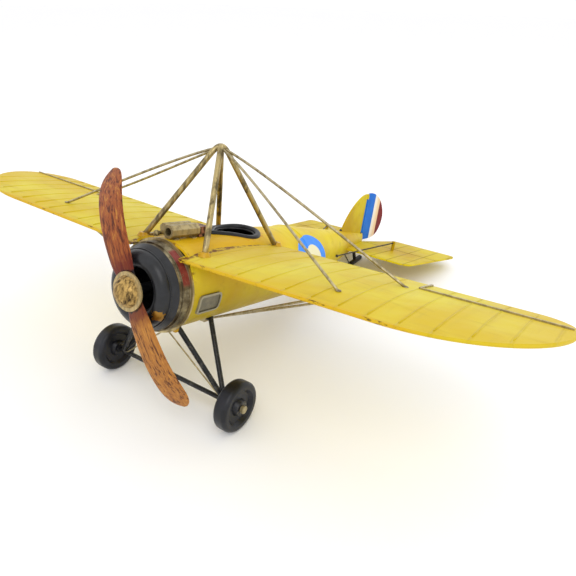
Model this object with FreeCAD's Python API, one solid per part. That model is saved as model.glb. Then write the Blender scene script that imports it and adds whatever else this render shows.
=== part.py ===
import FreeCAD, Part
import math
import os

os.makedirs("parts", exist_ok=True)
Vec = FreeCAD.Vector

# A hand-made sheet-metal model of an early single-wing fighter aeroplane, resting on two
# wheels and a tail skid. Lengths are in millimetres. The shapes are built level, nose
# towards -Y, port wing towards +X, with the propeller shaft's line as the Y axis, and the
# whole aeroplane is then tipped back onto its skid at the end.

# ---- Driving dimensions -------------------------------------------------------------
half_span = 200.0            # aeroplane centre line to wing tip
body_radius = 25.0           # round body section
body_top = body_radius + 1.0  # height of the decked part of the body over the shaft line
sheet = 1.0                  # tin sheet of the body
barrel_front_y = 13.0        # front edge of the body sheet, behind the cowl
barrel_rear_y = 133.0        # seam between the body sheet and the tail cone
tail_post_y = 262.0          # rear end of the tail cone
tail_post_half_height = 5.5
tail_post_half_width = 1.8
tail_post_z = 4.3            # middle height of the tail post
deck_squareness = 3.0        # 2 is a round section, larger is squarer at the shoulders

wing_le_y = 7.5              # straight part of the leading edge
wing_te_y = 92.0             # trailing edge
wing_thickness = 2.2
wing_edge_thickness = 1.4
wing_camber = 2.0
wing_root_z = 19.0           # wing's middle plane, carried in to the centre line
wing_rise = 0.028            # upward slope of each wing, millimetres per millimetre of span
wing_inner_x = 15.0          # the wing is made from here outwards, then trimmed to the body

propeller_radius = 67.0
propeller_lean = 31.0        # degrees the upper blade stands from upright, to starboard
blade_root_y = -6.8          # blade's middle plane at the hub
blade_sweep = 13.2           # how far the tips curl back
blade_width = 18.0
blade_root_thickness = 2.4
blade_tip_thickness = 1.0
blade_pitch = -3.0           # degrees
shaft_radius = 1.5
hub_radius = 7.0

wheel_x = 50.0               # centre of each wheel
wheel_y = 30.0
wheel_z = -59.0
wheel_radius = 15.0
wheel_width = 8.8
axle_radius = 1.4

apex_y = 52.0                # top of the wire tower over the body
apex_z = 76.5
foot_x = 23.3
front_foot_y = 21.0
rear_foot_y = 90.0
tower_tube_radius = 1.6

stand_angle = 14.0           # degrees the nose is up when the aeroplane rests on its skid

# ---- Clearances ---------------------------------------------------------------------
running_fit = 0.05           # radial, between a turning piece and its shaft
end_play = 0.3               # along a shaft, between a turning piece and its stop
past = 2.0                   # how far a cutting tool runs past what it cuts
section_points = 28          # points that set out one body section

port = 1.0
starboard = -1.0


# ---- Helpers ------------------------------------------------------------------------
def save(shape, node):
    finished[node] = shape


def largest(shape):
    return max(shape.Solids, key=lambda solid: solid.Volume)


def rod(start, end, radius):
    start = Vec(*start)
    end = Vec(*end)
    along = end.sub(start)
    return Part.makeCylinder(radius, along.Length, start, along)


def box(x_range, y_range, z_range):
    size = [pair[1] - pair[0] for pair in (x_range, y_range, z_range)]
    return Part.makeBox(*size, Vec(x_range[0], y_range[0], z_range[0]))


def disc(radius, y_front, y_back, x=0.0, z=0.0):
    return Part.makeCylinder(radius, y_back - y_front, Vec(x, y_front, z), Vec(0, 1, 0))


def across(radius, x_low, x_high, y, z):
    return Part.makeCylinder(radius, x_high - x_low, Vec(x_low, y, z), Vec(1, 0, 0))


def mirrored(shape):
    return shape.mirror(Vec(0, 0, 0), Vec(1, 0, 0))


def both_sides(shape):
    # The piece and its mirror image as two solids, each trimmed to the body sheet.
    return Part.makeCompound([shape.cut(barrel_solid), mirrored(shape).cut(barrel_solid)])


def turned_about_y(edges):
    face = Part.Face(Part.Wire(edges))
    return face.revolve(Vec(0, 0, 0), Vec(0, 1, 0), 360)


def outline(points):
    closed = list(points) + [points[0]]
    return Part.makePolygon([Vec(*point) for point in closed])


def power(value, exponent):
    return math.copysign(abs(value) ** exponent, value)


def section(y, half_width, top, bottom, squareness, middle_z=0.0):
    # One closed body section, rounder below than above.
    points = []
    for index in range(section_points):
        angle = 2 * math.pi * index / section_points
        sideways = math.cos(angle)
        upwards = math.sin(angle)
        if upwards >= 0:
            exponent = 2.0 / squareness
            x = half_width * power(sideways, exponent)
            z = top * power(upwards, exponent)
        else:
            x = half_width * sideways
            z = bottom * upwards
        points.append(Vec(x, y, middle_z + z))
    curve = Part.BSplineCurve()
    curve.interpolate(points, PeriodicFlag=True)
    return Part.Wire([curve.toShape()])


finished = {}

# ---- Body sheet and tail cone -------------------------------------------------------
deck_rear_y = 88.0           # the squared deck ends behind the cockpit
blend_y = 112.0              # by here the section is nearly round
blend_squareness = 2.15
blend_top = body_top - 0.8


def barrel(inset, overrun):
    sections = [
        section(barrel_front_y - overrun, body_radius - inset, body_top - inset,
                body_radius - inset, deck_squareness),
        section(50.0, body_radius - inset, body_top - inset, body_radius - inset,
                deck_squareness),
        section(deck_rear_y, body_radius - inset, body_top - inset, body_radius - inset,
                deck_squareness),
        section(blend_y, body_radius - inset, blend_top - inset, body_radius - inset,
                blend_squareness),
        section(barrel_rear_y + overrun, body_radius - inset, body_radius - inset,
                body_radius - inset, 2.0),
    ]
    return Part.makeLoft(sections, True, False)


def cone_section(y, inset):
    share = (y - barrel_rear_y) / (tail_post_y - barrel_rear_y)
    half_width = body_radius + share * (tail_post_half_width - body_radius) - inset
    half_height = body_radius + share * (tail_post_half_height - body_radius) - inset
    return section(y, half_width, half_height, half_height, 2.0, share * tail_post_z)


cone_hollow_y = 205.0        # behind this the cone is filled with solder
barrel_solid = barrel(0.0, 0.0)
cone_solid = Part.makeLoft([cone_section(barrel_rear_y, 0.0), cone_section(tail_post_y, 0.0)],
                           True, True)
cone_inside = Part.makeLoft([cone_section(barrel_rear_y - 0.01, sheet),
                             cone_section(cone_hollow_y, sheet)], True, True)

# Cockpit: a teardrop, pointed in front and round behind.
cockpit_y = 75.5             # centre of the round end
cockpit_radius = 14.2        # to the outside of the rolled edge
cockpit_point_y = 50.0       # pointed front end, outside the rolled edge
coaming_width = 2.0
coaming_proud = 1.5
coaming_depth = 2.4


def teardrop(radius, point_y, z_low, z_high):
    # The two straight sides run from the point and touch the circle.
    reach = cockpit_y - point_y
    touch = math.acos(radius / reach)
    side_x = radius * math.sin(touch)
    side_y = cockpit_y - radius * math.cos(touch)
    left = Vec(-side_x, side_y, z_low)
    right = Vec(side_x, side_y, z_low)
    front = Vec(0, point_y, z_low)
    rear = Vec(0, cockpit_y + radius, z_low)
    edges = [
        Part.makeLine(front, right),
        Part.Arc(right, rear, left).toShape(),
        Part.makeLine(left, front),
    ]
    return Part.Face(Part.Wire(edges)).extrude(Vec(0, 0, z_high - z_low))


inner_radius = cockpit_radius - coaming_width
inner_point_y = cockpit_point_y + 2.2 * coaming_width
tool_top_z = body_top + 10.0
cockpit_cut = teardrop(cockpit_radius, cockpit_point_y, 5.0, tool_top_z)
cockpit_inner_cut = teardrop(inner_radius, inner_point_y, 4.0, tool_top_z)

barrel_shell = barrel_solid.cut(barrel(sheet, past)).cut(cockpit_cut)
save(barrel_shell, "fuselage_barrel")

coaming_outside = barrel(-coaming_proud, past)
coaming_inside = barrel(coaming_depth - coaming_proud, 2 * past)
coaming = coaming_outside.cut(coaming_inside).common(cockpit_cut).cut(cockpit_inner_cut)
save(coaming, "cockpit_coaming")

# ---- Nose: former, shaft bush, cowl ring, cowl band and rim --------------------------
former_thickness = 2.0
former_radius = 23.5
former_front_y = barrel_front_y + sheet
former_back_y = former_front_y + former_thickness
bush_radius = 4.0
bush_front_y = former_front_y - 2.0
bush_back_y = former_back_y + 2.0
former = disc(body_radius + past, former_front_y, former_back_y)
former = former.common(barrel(sheet, past)).cut(disc(bush_radius, 0.0, 30.0))
save(former, "nose_former")

bush = disc(bush_radius, bush_front_y, bush_back_y)
bush = bush.cut(disc(shaft_radius + running_fit, bush_front_y - past, bush_back_y + past))
save(bush, "shaft_bush")

cowl_join_y = 5.0            # where the black nose ring meets the brass band
cowl_sheet = 1.2
band_front_radius = 23.6
band_bend_y = 10.5
rim_radius = 26.4
band_points = [
    (band_front_radius, cowl_join_y, 0),
    (body_radius, band_bend_y, 0),
    (body_radius, barrel_front_y, 0),
    (body_radius - cowl_sheet, barrel_front_y, 0),
    (body_radius - cowl_sheet, band_bend_y + 0.2, 0),
    (band_front_radius - cowl_sheet, cowl_join_y, 0),
]
band = turned_about_y(outline(band_points).Edges)
save(band, "cowl_band")

rim = disc(rim_radius, barrel_front_y - 1.2, barrel_front_y)
rim = rim.cut(disc(body_radius, 0.0, barrel_front_y + past))
save(rim, "cowl_rim")

ring_middle_radius = 16.2    # the rolled nose ring
ring_roll_radius = 5.0
ring_y = 0.8
ring_inner_lip_y = 3.0
outer_roll = ring_middle_radius + ring_roll_radius
inner_roll = ring_middle_radius - ring_roll_radius
ring_edges = [
    Part.Arc(Vec(outer_roll, ring_y, 0), Vec(ring_middle_radius, ring_y - ring_roll_radius, 0),
             Vec(inner_roll, ring_y, 0)).toShape(),
    Part.makeLine(Vec(inner_roll, ring_y, 0), Vec(inner_roll, ring_inner_lip_y, 0)),
    Part.makeLine(Vec(inner_roll, ring_inner_lip_y, 0),
                  Vec(inner_roll + cowl_sheet, ring_inner_lip_y, 0)),
    Part.makeLine(Vec(inner_roll + cowl_sheet, ring_inner_lip_y, 0),
                  Vec(inner_roll + cowl_sheet, ring_y, 0)),
    Part.Arc(Vec(inner_roll + cowl_sheet, ring_y, 0),
             Vec(ring_middle_radius, ring_y - ring_roll_radius + cowl_sheet, 0),
             Vec(outer_roll - cowl_sheet, ring_y, 0)).toShape(),
    Part.makeLine(Vec(outer_roll - cowl_sheet, ring_y, 0),
                  Vec(band_front_radius - cowl_sheet, cowl_join_y, 0)),
    Part.makeLine(Vec(band_front_radius - cowl_sheet, cowl_join_y, 0),
                  Vec(band_front_radius, cowl_join_y, 0)),
    Part.makeLine(Vec(band_front_radius, cowl_join_y, 0), Vec(outer_roll, ring_y, 0)),
]
save(turned_about_y(ring_edges), "cowl_nose_ring")

# ---- Propeller, turning on one shaft -------------------------------------------------
hub_front_y = blade_root_y - 1.4
hub_back_y = blade_root_y + 1.4
flange_thickness = 1.0
flange_radius = 10.6
dome_radius = 8.6
dome_height = 6.2
sleeve_radius = 3.0
sleeve_back_y = bush_front_y - end_play
collar_front_y = bush_back_y + end_play
collar_back_y = collar_front_y + 2.5
shaft_front_y = hub_front_y - flange_thickness
shaft = disc(shaft_radius, shaft_front_y, collar_back_y)
save(shaft, "propeller_shaft")

collar = disc(3.4, collar_front_y, collar_back_y).cut(shaft)
save(collar, "shaft_collar")

hub_solid = disc(hub_radius, hub_front_y, hub_back_y)
hub_solid = hub_solid.fuse(disc(sleeve_radius, hub_back_y, sleeve_back_y))
save(hub_solid.cut(shaft), "propeller_hub")

flange_front_y = hub_front_y - flange_thickness
flange = disc(flange_radius, flange_front_y, hub_front_y).cut(shaft)
save(flange, "spinner_flange")

dome_ball_radius = (dome_radius ** 2 + dome_height ** 2) / (2 * dome_height)
dome_ball_y = flange_front_y - dome_height + dome_ball_radius
dome = Part.makeSphere(dome_ball_radius, Vec(0, dome_ball_y, 0))
dome_front = box((-20, 20), (flange_front_y - 20, flange_front_y), (-20, 20))
save(dome.common(dome_front), "spinner_dome")

# Each blade is lofted through stations given as shares of the radius and of the width.
blade_stations = [
    (0.075, 0.76), (0.20, 0.84), (0.32, 0.94), (0.46, 1.0), (0.62, 1.03),
    (0.78, 1.05), (0.88, 0.98), (0.945, 0.76), (0.98, 0.46), (1.0, 0.14),
]
blade_section_points = 16


def blade(turn):
    # turn is the blade's angle from upright, in degrees, positive towards starboard.
    lean = math.radians(turn)
    outward = Vec(-math.sin(lean), 0, math.cos(lean))
    aft = Vec(0, 1, 0)
    chordwise = outward.cross(aft)
    pitch = math.radians(blade_pitch)
    wide = chordwise * math.cos(pitch) + aft * math.sin(pitch)
    thin = aft * math.cos(pitch) - chordwise * math.sin(pitch)
    wires = []
    for share, width_share in blade_stations:
        radius = share * propeller_radius
        half_width = 0.5 * blade_width * width_share
        thickness = blade_root_thickness + share * (blade_tip_thickness - blade_root_thickness)
        half_thickness = min(0.5 * thickness, 0.5 * half_width)
        middle = outward * radius + aft * (blade_root_y + blade_sweep * share ** 3.3)
        points = []
        for index in range(blade_section_points):
            angle = 2 * math.pi * index / blade_section_points
            point = middle + wide * (half_width * math.cos(angle))
            points.append(point + thin * (half_thickness * math.sin(angle)))
        curve = Part.BSplineCurve()
        curve.interpolate(points, PeriodicFlag=True)
        wires.append(Part.Wire([curve.toShape()]))
    return Part.makeLoft(wires, True, False).cut(disc(hub_radius, -20.0, 20.0))


save(blade(propeller_lean), "blade_upper")
save(blade(propeller_lean + 180.0), "blade_lower")

# ---- Wings ---------------------------------------------------------------------------
wing_chord = wing_te_y - wing_le_y
wing_middle_y = 0.5 * (wing_le_y + wing_te_y)
tip_le_x = 128.0             # the leading edge starts to curve back here
tip_te_x = 180.0             # the trailing edge starts to curve forward here
tip_middle_y = 66.0          # foremost point of the tip's outer end


def wing_z(x):
    return wing_root_z + wing_rise * abs(x)


def wing_camber_at(y):
    share = (y - wing_le_y) / wing_chord
    return wing_camber * 4 * share * (1 - share)


def wing_top_z(x, y):
    return wing_z(x) + wing_camber_at(y) + 0.5 * wing_thickness


def wing_section():
    z = wing_z(wing_inner_x)
    edge = 0.5 * wing_edge_thickness
    body = 0.5 * wing_thickness
    low_front = Vec(wing_inner_x, wing_le_y, z - edge)
    high_front = Vec(wing_inner_x, wing_le_y, z + edge)
    low_rear = Vec(wing_inner_x, wing_te_y, z - edge)
    high_rear = Vec(wing_inner_x, wing_te_y, z + edge)
    high_middle = Vec(wing_inner_x, wing_middle_y, z + wing_camber + body)
    low_middle = Vec(wing_inner_x, wing_middle_y, z + wing_camber - body)
    edges = [
        Part.Arc(high_front, high_middle, high_rear).toShape(),
        Part.makeLine(high_rear, low_rear),
        Part.Arc(low_rear, low_middle, low_front).toShape(),
        Part.makeLine(low_front, high_front),
    ]
    return Part.Face(Part.Wire(edges))


def curve_through(points):
    curve = Part.BSplineCurve()
    curve.interpolate([Vec(*point) for point in points])
    return curve.toShape()


def wing_planform():
    # Straight edges, an elliptical front corner and a tighter rear corner at the tip.
    reach_x = half_span - tip_le_x
    reach_y = tip_middle_y - wing_le_y
    front_tip = []
    for step in range(9):
        angle = math.pi / 2 * step / 8
        x = tip_le_x + reach_x * math.sin(angle)
        front_tip.append((x, tip_middle_y - reach_y * math.cos(angle), 0))
    rear_reach_x = half_span - tip_te_x
    rear_reach_y = wing_te_y - tip_middle_y
    rear_tip = []
    for step in range(7):
        angle = math.pi / 2 * step / 6
        x = tip_te_x + rear_reach_x * math.cos(angle)
        rear_tip.append((x, tip_middle_y + rear_reach_y * math.sin(angle), 0))
    inner = wing_inner_x - past
    edges = [
        Part.makeLine(Vec(inner, wing_le_y, 0), Vec(tip_le_x, wing_le_y, 0)),
        curve_through(front_tip),
        curve_through(rear_tip),
        Part.makeLine(Vec(tip_te_x, wing_te_y, 0), Vec(inner, wing_te_y, 0)),
        Part.makeLine(Vec(inner, wing_te_y, 0), Vec(inner, wing_le_y, 0)),
    ]
    face = Part.Face(Part.Wire(edges))
    return face.extrude(Vec(0, 0, 60))


wing_reach = half_span + past - wing_inner_x
wing_long = wing_section().extrude(Vec(wing_reach, 0, wing_reach * wing_rise))
wing_whole = wing_long.common(wing_planform())

# The folded wing skins stand open at the root: a slot in the leading edge and a notch in
# the root end near the trailing edge.
slot_height = 0.5
slot_x = 19.0
slot_length = 8.0
slot_depth = 4.0
notch_width = 2.4
notch_length = 13.0
notch_depth = 1.0
slot_z = wing_z(slot_x) + 0.1
front_slot = box((slot_x, slot_x + slot_length), (wing_le_y - past, wing_le_y + slot_depth),
                 (slot_z, slot_z + slot_height))
notch_front_y = wing_te_y - 4.0 - notch_length
notch_z = wing_top_z(slot_x, notch_front_y) - notch_depth
rear_notch = box((slot_x, slot_x + notch_width), (notch_front_y, notch_front_y + notch_length),
                 (notch_z, notch_z + 10.0))
root_gap = 0.1               # between the wing root and the cowl's rim in front of the body
cowl_clear = disc(rim_radius + root_gap, 0.0, barrel_front_y)
wing_blank = wing_whole.cut(cowl_clear).cut(front_slot).cut(rear_notch)
wing_trimmed = wing_whole.cut(barrel_solid)
wing_port = wing_blank.cut(barrel_solid)
wing_starboard = mirrored(wing_blank).cut(barrel_solid)
save(wing_port, "wing_port")
save(wing_starboard, "wing_starboard")

# Brass outlines of the ailerons, and a brass rod along the starboard wing root, all lying
# on the skin.
aileron_inner_x = 124.0
aileron_hinge_y = 71.0
aileron_outer_x = 197.5
outline_width = 1.3
outline_height = 0.9
rear_foot_inset = 1.6        # how far the rear feet stand in from the rear_foot_y line
root_rod_x = 21.4
root_rod_width = 1.4
root_rod_height = 1.3
foot_collar_radius = 3.4
foot_collar_top_radius = 2.3
foot_collar_height = 2.0
foot_collar_sunk = 0.3       # how far the solder bites below the skin
wing_raised = wing_port.translated(Vec(0, 0, outline_height))
hinge_strip = box((aileron_inner_x, aileron_outer_x),
                  (aileron_hinge_y, aileron_hinge_y + outline_width), (0, 60))
end_strip = box((aileron_inner_x, aileron_inner_x + outline_width),
                (aileron_hinge_y, wing_te_y - 0.6), (0, 60))
aileron = hinge_strip.fuse(end_strip).common(wing_raised).cut(wing_port)
save(Part.makeCompound([aileron, mirrored(aileron)]), "aileron_outlines")

root_strip = box((root_rod_x, root_rod_x + root_rod_width),
                 (front_foot_y + foot_collar_radius + 0.2,
                  rear_foot_y - rear_foot_inset - foot_collar_radius - 0.2), (0, 60))
root_raised = wing_trimmed.translated(Vec(0, 0, root_rod_height))
root_rod = root_strip.common(root_raised).cut(wing_trimmed).cut(barrel_solid)
save(mirrored(root_rod).cut(barrel_solid), "wing_root_rod")

# ---- Wire tower over the body and the bracing rods -----------------------------------
half_space = 300.0
tube_gap = 0.25              # solder fills this gap under each tower tube


def tower_tube(foot_y, front):
    # Made too long, mitred where the four tubes meet, and cut off flat just over the skin.
    foot = Vec(foot_x, foot_y, wing_top_z(foot_x, foot_y))
    top = Vec(0, apex_y, apex_z)
    extra = (top - foot) * 0.07
    tube = rod(foot - extra, top + extra, tower_tube_radius)
    y_range = (-half_space, apex_y) if front else (apex_y, half_space)
    return tube.common(box((0, half_space), y_range, (foot.z + tube_gap, half_space)))


tower_front = tower_tube(front_foot_y, True)
tower_rear = tower_tube(rear_foot_y - rear_foot_inset, False)
save(tower_front, "cabane_front_port")
save(mirrored(tower_front), "cabane_front_starboard")
save(tower_rear, "cabane_rear_port")
save(mirrored(tower_rear), "cabane_rear_starboard")


def foot_collar(foot_y, tube):
    # A blob of solder round the foot of one tube, sunk a little into the skin.
    base = Vec(foot_x, foot_y, wing_top_z(foot_x, foot_y) - foot_collar_sunk)
    height = foot_collar_sunk + foot_collar_height
    cone = Part.makeCone(foot_collar_radius, foot_collar_top_radius, height, base)
    return largest(cone.cut(tube))


collar_front = foot_collar(front_foot_y, tower_front)
collar_rear = foot_collar(rear_foot_y - rear_foot_inset, tower_rear)
feet = [collar_front, collar_rear, mirrored(collar_front), mirrored(collar_rear)]
save(Part.makeCompound(feet), "cabane_foot_solder")

brace_radius = 0.7
front_brace_x = 101.0
front_brace_y = 27.0
rear_brace_x = 119.0
rear_brace_y = 66.0
brace_bite = 0.9             # how far a rod's end goes into the wing before trimming
solder_bite = 0.3            # how far a lower rod's end is let into the wing
anchor_y = 56.0              # block under the belly that the lower rods run out from
anchor_half_width = 2.2
anchor_half_length = 3.2
anchor_rod_z = -body_radius - 3.7  # keeps the lower rods just clear of the round belly
anchor_bottom_z = anchor_rod_z - 1.3
lower_brace_gap = 2.4        # between the two lower rods where they leave the block


def upper_brace(x, y, tube, foot_y):
    # The rod leaves its own tower tube a little below the top.
    drop = 0.055
    start = (foot_x * drop, apex_y + (foot_y - apex_y) * drop,
             apex_z + (wing_top_z(foot_x, foot_y) - apex_z) * drop)
    brace = rod(start, (x, y, wing_top_z(x, y) - brace_bite), brace_radius)
    return largest(brace.cut(wing_port).cut(tube))


anchor = box((-anchor_half_width, anchor_half_width),
             (anchor_y - anchor_half_length, anchor_y + anchor_half_length),
             (anchor_bottom_z, -0.9 * body_radius)).cut(barrel_solid)
save(anchor, "belly_anchor")


def lower_brace(x, y, shift):
    # The outer end is soldered a little way into the wing's lower skin.
    start = (0.5 * anchor_half_width, anchor_y + shift, anchor_rod_z)
    under = wing_z(x) + wing_camber_at(y) - 0.5 * wing_thickness
    brace = rod(start, (x, y, under + solder_bite), brace_radius)
    return largest(brace.cut(anchor))


braces = {
    "upper_brace_front": upper_brace(front_brace_x, front_brace_y, tower_front, front_foot_y),
    "upper_brace_rear": upper_brace(rear_brace_x, rear_brace_y, tower_rear,
                                    rear_foot_y - rear_foot_inset),
    "lower_brace_front": lower_brace(front_brace_x, front_brace_y, -0.5 * lower_brace_gap),
    "lower_brace_rear": lower_brace(rear_brace_x, rear_brace_y, 0.5 * lower_brace_gap),
}
for name, brace in braces.items():
    save(brace, name + "_port")
    save(mirrored(brace), name + "_starboard")

# ---- Gun in front of the cockpit -----------------------------------------------------
gun_z = body_top + 3.9       # jacket's middle height
gun_x = 1.0
gun_jacket_radius = 3.9
gun_front_y = 15.5
gun_back_y = 37.0
gun_bore_radius = 2.2
gun_bore_depth = 12.0
far_tube_x = -4.3
far_tube_z = gun_z + 1.0
far_tube_radius = 2.7
gun_facets = 8


def facetted(radius, y_front, y_back, x, z):
    points = []
    for index in range(gun_facets):
        angle = math.pi / gun_facets + 2 * math.pi * index / gun_facets
        points.append((x + radius * math.cos(angle), y_front, z + radius * math.sin(angle)))
    return Part.Face(outline(points)).extrude(Vec(0, y_back - y_front, 0))


jacket_near = facetted(gun_jacket_radius, gun_front_y, gun_back_y, gun_x, gun_z)
jacket_far = facetted(far_tube_radius, gun_front_y + 1.5, gun_back_y, far_tube_x, far_tube_z)
jacket = jacket_near.fuse(jacket_far)
jacket = jacket.cut(disc(gun_bore_radius, gun_front_y - past, gun_front_y + gun_bore_depth,
                         gun_x, gun_z))
save(jacket, "gun_jacket")

small_barrel_x = -3.6
small_barrel_z = gun_z - 1.3
small_barrel_radius = 1.1
ball_radius = 1.7
ball_y = 11.6
small_barrel = disc(small_barrel_radius, ball_y, gun_front_y + 3.0, small_barrel_x,
                    small_barrel_z)
ball = Part.makeSphere(ball_radius, Vec(small_barrel_x, ball_y, small_barrel_z))
save(small_barrel.fuse(ball).cut(jacket), "gun_small_barrel")

breech = box((-4.6, 4.2), (gun_back_y, gun_back_y + 7.5), (body_top + 0.2, gun_z + 2.0))
save(breech, "gun_breech")

saddle_bottom_z = body_top - 4.0
saddle_top_z = gun_z - gun_jacket_radius * math.cos(math.pi / gun_facets)
front_saddle = box((-2.4, 4.0), (18.0, 21.5), (saddle_bottom_z, saddle_top_z))
rear_saddle = box((-2.4, 4.0), (32.0, 35.5), (saddle_bottom_z, saddle_top_z))
breech_saddle = box((-3.0, 3.0), (gun_back_y + 1.5, gun_back_y + 6.0),
                    (saddle_bottom_z, body_top + 0.2))
saddles = [piece.cut(barrel_solid).cut(jacket)
           for piece in (front_saddle, rear_saddle, breech_saddle)]
save(Part.makeCompound(saddles), "gun_saddles")

# ---- Landing gear --------------------------------------------------------------------
strut_radius = 1.5
strut_top_x = 0.54 * body_radius
strut_top_z = -0.76 * body_radius
strut_front_y = 13.5 + 2.0
strut_rear_y = 43.5
strut_foot_x = 42.0
hub_width = 9.4
wheel_inner_x = wheel_x - 0.5 * hub_width
wheel_outer_x = wheel_x + 0.5 * hub_width
cap_thickness = 1.7
cap_radius = 2.3
cap_inner_x = wheel_outer_x + end_play
axle_end_x = cap_inner_x + 0.9
axle = across(axle_radius, -axle_end_x, axle_end_x, wheel_y, wheel_z)
save(axle, "axle")


def strut(top_y, front):
    top = (strut_top_x, top_y, strut_top_z)
    bar = rod(top, (strut_foot_x, wheel_y, wheel_z), strut_radius)
    low = -half_space
    if front:
        keep = box((0, half_space), (low, wheel_y), (low, half_space))
    else:
        keep = box((0, half_space), (wheel_y, half_space), (low, half_space))
    return bar.common(keep).cut(axle)


strut_front = strut(strut_front_y, True)
strut_rear = strut(strut_rear_y, False)
save(largest(strut_front.cut(barrel_solid)), "gear_strut_front_port")
save(largest(mirrored(strut_front).cut(barrel_solid)), "gear_strut_front_starboard")
save(largest(strut_rear.cut(barrel_solid)), "gear_strut_rear_port")
save(largest(mirrored(strut_rear).cut(barrel_solid)), "gear_strut_rear_starboard")

collar_inner_x = strut_foot_x + strut_radius + 0.3
stop = across(2.5, collar_inner_x, wheel_inner_x - end_play, wheel_y, wheel_z)
stop = stop.cut(axle).cut(strut_front).cut(strut_rear)
save(Part.makeCompound([stop, mirrored(stop)]), "axle_collars")

cap = across(cap_radius, cap_inner_x, cap_inner_x + cap_thickness, wheel_y, wheel_z)
cap = cap.cut(axle)
save(Part.makeCompound([cap, mirrored(cap)]), "hub_caps")


def wheel():
    # Turned section: flat tread with rounded shoulders, dished sides and a raised hub.
    half = 0.5 * wheel_width
    half_hub = 0.5 * hub_width
    shoulder = 2.4
    ridge_radius = 10.8
    hub_edge = 4.2
    dish = 2.0
    bore = axle_radius + running_fit
    right = [
        (half_hub, bore), (half_hub, hub_edge), (half - dish, hub_edge + 1.2),
        (half - dish, ridge_radius - 1.6), (half, ridge_radius),
    ]
    left = [(-offset, radius) for offset, radius in reversed(right)]
    corner = math.sqrt(0.5)
    tread = wheel_radius - shoulder
    edges = []
    for chain in (right, left):
        for first, second in zip(chain[:-1], chain[1:]):
            edges.append(Part.makeLine(Vec(first[0], first[1], 0), Vec(second[0], second[1], 0)))
    flank = Vec(half, tread, 0)
    edges.append(Part.makeLine(Vec(half, ridge_radius, 0), flank))
    crown = Vec(half - shoulder, wheel_radius, 0)
    bend = Vec(half - shoulder + shoulder * corner, tread + shoulder * corner, 0)
    edges.append(Part.Arc(flank, bend, crown).toShape())
    far_crown = Vec(-crown.x, wheel_radius, 0)
    edges.append(Part.makeLine(crown, far_crown))
    far_flank = Vec(-half, tread, 0)
    edges.append(Part.Arc(far_crown, Vec(-bend.x, bend.y, 0), far_flank).toShape())
    edges.append(Part.makeLine(far_flank, Vec(-half, ridge_radius, 0)))
    edges.append(Part.makeLine(Vec(-half_hub, bore, 0), Vec(half_hub, bore, 0)))
    face = Part.Face(Part.Wire(Part.__sortEdges__(edges)))
    solid = face.revolve(Vec(0, 0, 0), Vec(1, 0, 0), 360)
    return solid.translated(Vec(wheel_x, wheel_y, wheel_z))


wheel_port = wheel()
save(wheel_port, "wheel_port")
save(mirrored(wheel_port), "wheel_starboard")

cross_wire_radius = 0.45
wire_top_x = 11.5
wire_top_z = -19.5
wire_foot_x = 38.5


def cross_wire(top_y, foot_y, side):
    # side is where the wire starts under the body; it crosses to the other wheel's end.
    wire = rod((side * wire_top_x, top_y, wire_top_z), (-side * wire_foot_x, foot_y, wheel_z),
               cross_wire_radius)
    return largest(wire.cut(axle).cut(barrel_solid))


save(cross_wire(18.2, wheel_y - 0.6, port), "cross_wire_to_starboard")
save(cross_wire(20.8, wheel_y + 0.6, starboard), "cross_wire_to_port")

# ---- Maker's plates on the body sides ------------------------------------------------
plate_front_y = 18.5
plate_rear_y = 36.5
plate_top_z = 0.2
plate_bottom_z = -11.2
plate_proud = 0.7
frame_proud = 0.6
frame_width = 1.3
plate_corner = 2.6


def plate_window(margin):
    window = box((0, half_space), (plate_front_y + margin, plate_rear_y - margin),
                 (plate_bottom_z + margin, plate_top_z - margin))
    along_x = [edge for edge in window.Edges
               if abs(edge.Vertexes[0].X - edge.Vertexes[-1].X) > past]
    return window.makeFillet(plate_corner - margin, along_x)


def round_skin(proud):
    return disc(body_radius + proud, barrel_front_y, blend_y)


plate_part = round_skin(plate_proud).common(plate_window(0.0))
frame_part = round_skin(plate_proud + frame_proud).common(plate_window(0.0))
frame_part = frame_part.cut(plate_window(frame_width))
side_plate = plate_part.fuse(frame_part)
save(both_sides(side_plate), "side_plates")

# ---- Tail surfaces -------------------------------------------------------------------
fin_thickness = 1.4
tailplane_z = 1.8
post_y = 260.2
post_radius = 0.7
post_top_z = 43.4
post_bottom_z = 5.5
post_foot_top_z = tail_post_z + tail_post_half_height + 0.9
eye_radius = 1.5
lug_bottom_z = 40.8
rudder_bottom_z = 3.6
plate_gap = 0.6              # between a fixed tail piece and the rudder

fin_edge = curve_through([(0, 218.0, 8.0), (0, 224.0, 21.0), (0, 232.0, 31.0),
                          (0, 242.0, 39.0), (0, 251.0, 43.6), (0, post_y + 1.4, 45.2)])
fin_back_y = post_y - eye_radius - plate_gap
fin_outline = [
    fin_edge,
    Part.makeLine(Vec(0, post_y + 1.4, 45.2), Vec(0, post_y + 1.4, lug_bottom_z)),
    Part.makeLine(Vec(0, post_y + 1.4, lug_bottom_z), Vec(0, fin_back_y, lug_bottom_z)),
    Part.makeLine(Vec(0, fin_back_y, lug_bottom_z), Vec(0, fin_back_y, 5.0)),
    Part.makeLine(Vec(0, fin_back_y, 5.0), Vec(0, 218.0, 5.0)),
    Part.makeLine(Vec(0, 218.0, 5.0), Vec(0, 218.0, 8.0)),
]
fin = Part.Face(Part.Wire(fin_outline)).extrude(Vec(fin_thickness, 0, 0))
fin = fin.translated(Vec(-0.5 * fin_thickness, 0, 0))
lug = Part.makeCylinder(1.4, post_top_z - lug_bottom_z + 0.6, Vec(0, post_y, lug_bottom_z))
post = Part.makeCylinder(post_radius, post_top_z - post_bottom_z, Vec(0, post_y, post_bottom_z))
fin = fin.fuse(lug).cut(post).cut(cone_solid)
save(fin, "fin")
save(post, "rudder_post")

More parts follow.
